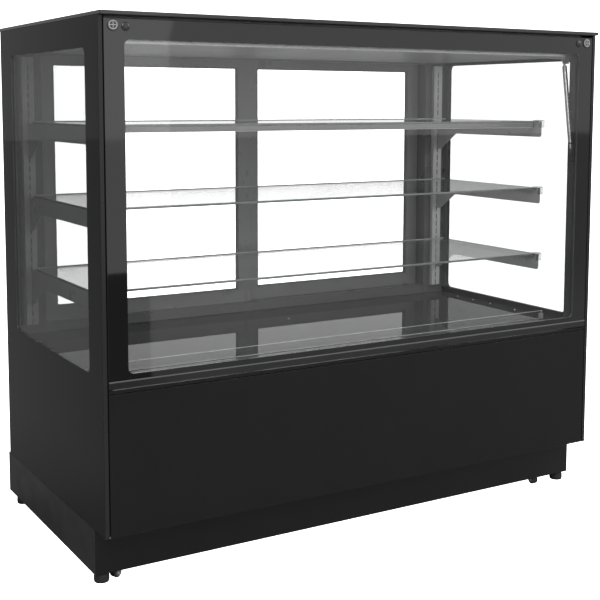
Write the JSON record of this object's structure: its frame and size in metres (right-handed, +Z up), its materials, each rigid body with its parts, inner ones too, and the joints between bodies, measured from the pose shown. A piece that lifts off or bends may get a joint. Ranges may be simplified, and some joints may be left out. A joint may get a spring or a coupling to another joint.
{
  "type": "bakery display case",
  "caption": "Refrigerated bakery counter with a square lift-up front glass, glass shelves on slotted rails, rear sliding doors and a recessed plinth.",
  "frame": {"origin": "bottom centre of the bounding box, on the floor under the middle of the case", "axes": "+Z up, +X along the front to the customer's right, +Y from the customer's side to the server's side"},
  "size_m": [1.5, 0.774, 1.335],
  "materials": {
    "printed_glass": "black-printed tempered glass, glossy",
    "clear_glass": "clear float glass with polished edges",
    "black_paint": "fine satin black powder coat",
    "graphite_steel": "grey satin powder coat",
    "bright_steel": "brushed",
    "chrome_rod": "polished",
    "anodised": "satin anodised",
    "insulation": "white skin over foam",
    "coil_metal": "thin bare fins",
    "black_plastic": "satin moulded",
    "rubber": "matt"
  },
  "bodies": {
    "case": {"base_floor": "graphite_steel", "bracket_lower_left": "graphite_steel", "bracket_lower_right": "graphite_steel", "bracket_middle_left": "graphite_steel", "bracket_middle_right": "graphite_steel", "bracket_upper_left": "graphite_steel", "bracket_upper_right": "graphite_steel", "canopy": "graphite_steel", "compressor": "black_paint", "condenser": "coil_metal", "controller": "black_plastic", "deck_panel": "printed_glass", "deflector_glass": "clear_glass", "door_track_lower": "black_paint", "door_track_upper": "black_paint", "evaporator": "coil_metal", "foot_front_left": "rubber", "foot_front_right": "rubber", "foot_rear_left": "rubber", "foot_rear_right": "rubber", "front_lower_panel": "black_paint", "front_post_left": "black_paint", "front_post_right": "black_paint", "front_sill": "anodised", "insulated_tub": "insulation", "plinth_skirt": "black_paint", "power_inlet": "black_plastic", "rear_lower_panel": "black_paint", "rear_post_left": "black_paint", "rear_post_right": "black_paint", "shelf_light_bar": "anodised", "shelf_lower": "clear_glass", "shelf_middle": "clear_glass", "shelf_rail_left": "bright_steel", "shelf_rail_right": "bright_steel", "shelf_upper": "clear_glass", "side_glass_left": "printed_glass", "side_glass_right": "printed_glass", "top_plate": "printed_glass"},
    "front_glass": {"front_glass": "clear_glass", "hinge_arm_left": "graphite_steel", "hinge_arm_right": "graphite_steel"},
    "strut_tube_left": {"gas_tube_left": "bright_steel"},
    "strut_rod_left": {"gas_rod_left": "chrome_rod"},
    "strut_tube_right": {"gas_tube_right": "bright_steel"},
    "strut_rod_right": {"gas_rod_right": "chrome_rod"},
    "door_left": {"door_frame_left": "black_plastic", "door_pane_left": "clear_glass"},
    "door_right": {"door_frame_right": "black_plastic", "door_pane_right": "clear_glass"},
    "castor_front_left": {"castor_fork_front_left": "bright_steel"},
    "wheel_front_left": {"castor_wheel_front_left": "rubber"},
    "castor_front_right": {"castor_fork_front_right": "bright_steel"},
    "wheel_front_right": {"castor_wheel_front_right": "rubber"},
    "castor_rear_left": {"castor_fork_rear_left": "bright_steel"},
    "wheel_rear_left": {"castor_wheel_rear_left": "rubber"},
    "castor_rear_right": {"castor_fork_rear_right": "bright_steel"},
    "wheel_rear_right": {"castor_wheel_rear_right": "rubber"},
    "fan_rotor": {"condenser_fan": "black_plastic"},
    "switch_rocker": {"power_switch": "black_plastic"}
  },
  "joints": [
    {"name": "front_glass_lift", "type": "hinge", "parent": "case", "child": "front_glass", "pos_m": [0, -0.363, 1.308], "axis": [-1, 0, 0], "range_deg": [0, 75]},
    {"name": "strut_swing_left", "type": "hinge", "parent": "case", "child": "strut_tube_left", "pos_m": [-0.715, -0.287, 1.257], "axis": [-1, 0, 0], "range_deg": [0, 71.91]},
    {"name": "strut_stroke_left", "type": "slide", "parent": "strut_tube_left", "child": "strut_rod_left", "axis": [0, -0.1424, -0.9898], "range_m": [0, 0.11013]},
    {"name": "strut_swing_right", "type": "hinge", "parent": "case", "child": "strut_tube_right", "pos_m": [0.715, -0.287, 1.257], "axis": [-1, 0, 0], "range_deg": [0, 71.91]},
    {"name": "strut_stroke_right", "type": "slide", "parent": "strut_tube_right", "child": "strut_rod_right", "axis": [0, -0.1424, -0.9898], "range_m": [0, 0.11013]},
    {"name": "door_slide_left", "type": "slide", "parent": "case", "child": "door_left", "axis": [1, 0, 0], "range_m": [0, 0.6]},
    {"name": "door_slide_right", "type": "slide", "parent": "case", "child": "door_right", "axis": [1, 0, 0], "range_m": [-0.6, 0]},
    {"name": "castor_swivel_front_left", "type": "hinge", "parent": "case", "child": "castor_front_left", "pos_m": [-0.6835, -0.279, 0.04], "axis": [0, 0, 1], "continuous": true},
    {"name": "wheel_spin_front_left", "type": "hinge", "parent": "castor_front_left", "child": "wheel_front_left", "pos_m": [-0.69092, -0.282, 0.014], "axis": [-0.3746, 0.9272, 0], "continuous": true},
    {"name": "castor_swivel_front_right", "type": "hinge", "parent": "case", "child": "castor_front_right", "pos_m": [0.6316, -0.279, 0.04], "axis": [0, 0, 1], "continuous": true},
    {"name": "wheel_spin_front_right", "type": "hinge", "parent": "castor_front_right", "child": "wheel_front_right", "pos_m": [0.6316, -0.287, 0.014], "axis": [-1, 0, 0], "continuous": true},
    {"name": "castor_swivel_rear_left", "type": "hinge", "parent": "case", "child": "castor_rear_left", "pos_m": [-0.6835, 0.29, 0.04], "axis": [0, 0, 1], "continuous": true},
    {"name": "wheel_spin_rear_left", "type": "hinge", "parent": "castor_rear_left", "child": "wheel_rear_left", "pos_m": [-0.69005, 0.29459, 0.014], "axis": [0.5736, 0.8192, 0], "continuous": true},
    {"name": "castor_swivel_rear_right", "type": "hinge", "parent": "case", "child": "castor_rear_right", "pos_m": [0.6316, 0.29, 0.04], "axis": [0, 0, 1], "continuous": true},
    {"name": "wheel_spin_rear_right", "type": "hinge", "parent": "castor_rear_right", "child": "wheel_rear_right", "pos_m": [0.62646, 0.28387, 0.014], "axis": [-0.766, 0.6428, 0], "continuous": true},
    {"name": "fan_spin", "type": "hinge", "parent": "case", "child": "fan_rotor", "pos_m": [0, 0.1, 0.262], "axis": [1, 0, 0], "continuous": true},
    {"name": "power_switch_rock", "type": "hinge", "parent": "case", "child": "switch_rocker", "pos_m": [0.4, 0.374, 0.33], "axis": [1, 0, 0], "range_deg": [0, 16]}
  ],
  "couplings": [
    {"joint": "strut_swing_left", "follows": "front_glass_lift", "ratio": 0.95611},
    {"joint": "strut_stroke_left", "follows": "front_glass_lift", "m_per_rad": 0.083825},
    {"joint": "strut_swing_right", "follows": "front_glass_lift", "ratio": 0.95611},
    {"joint": "strut_stroke_right", "follows": "front_glass_lift", "m_per_rad": 0.083825}
  ]
}
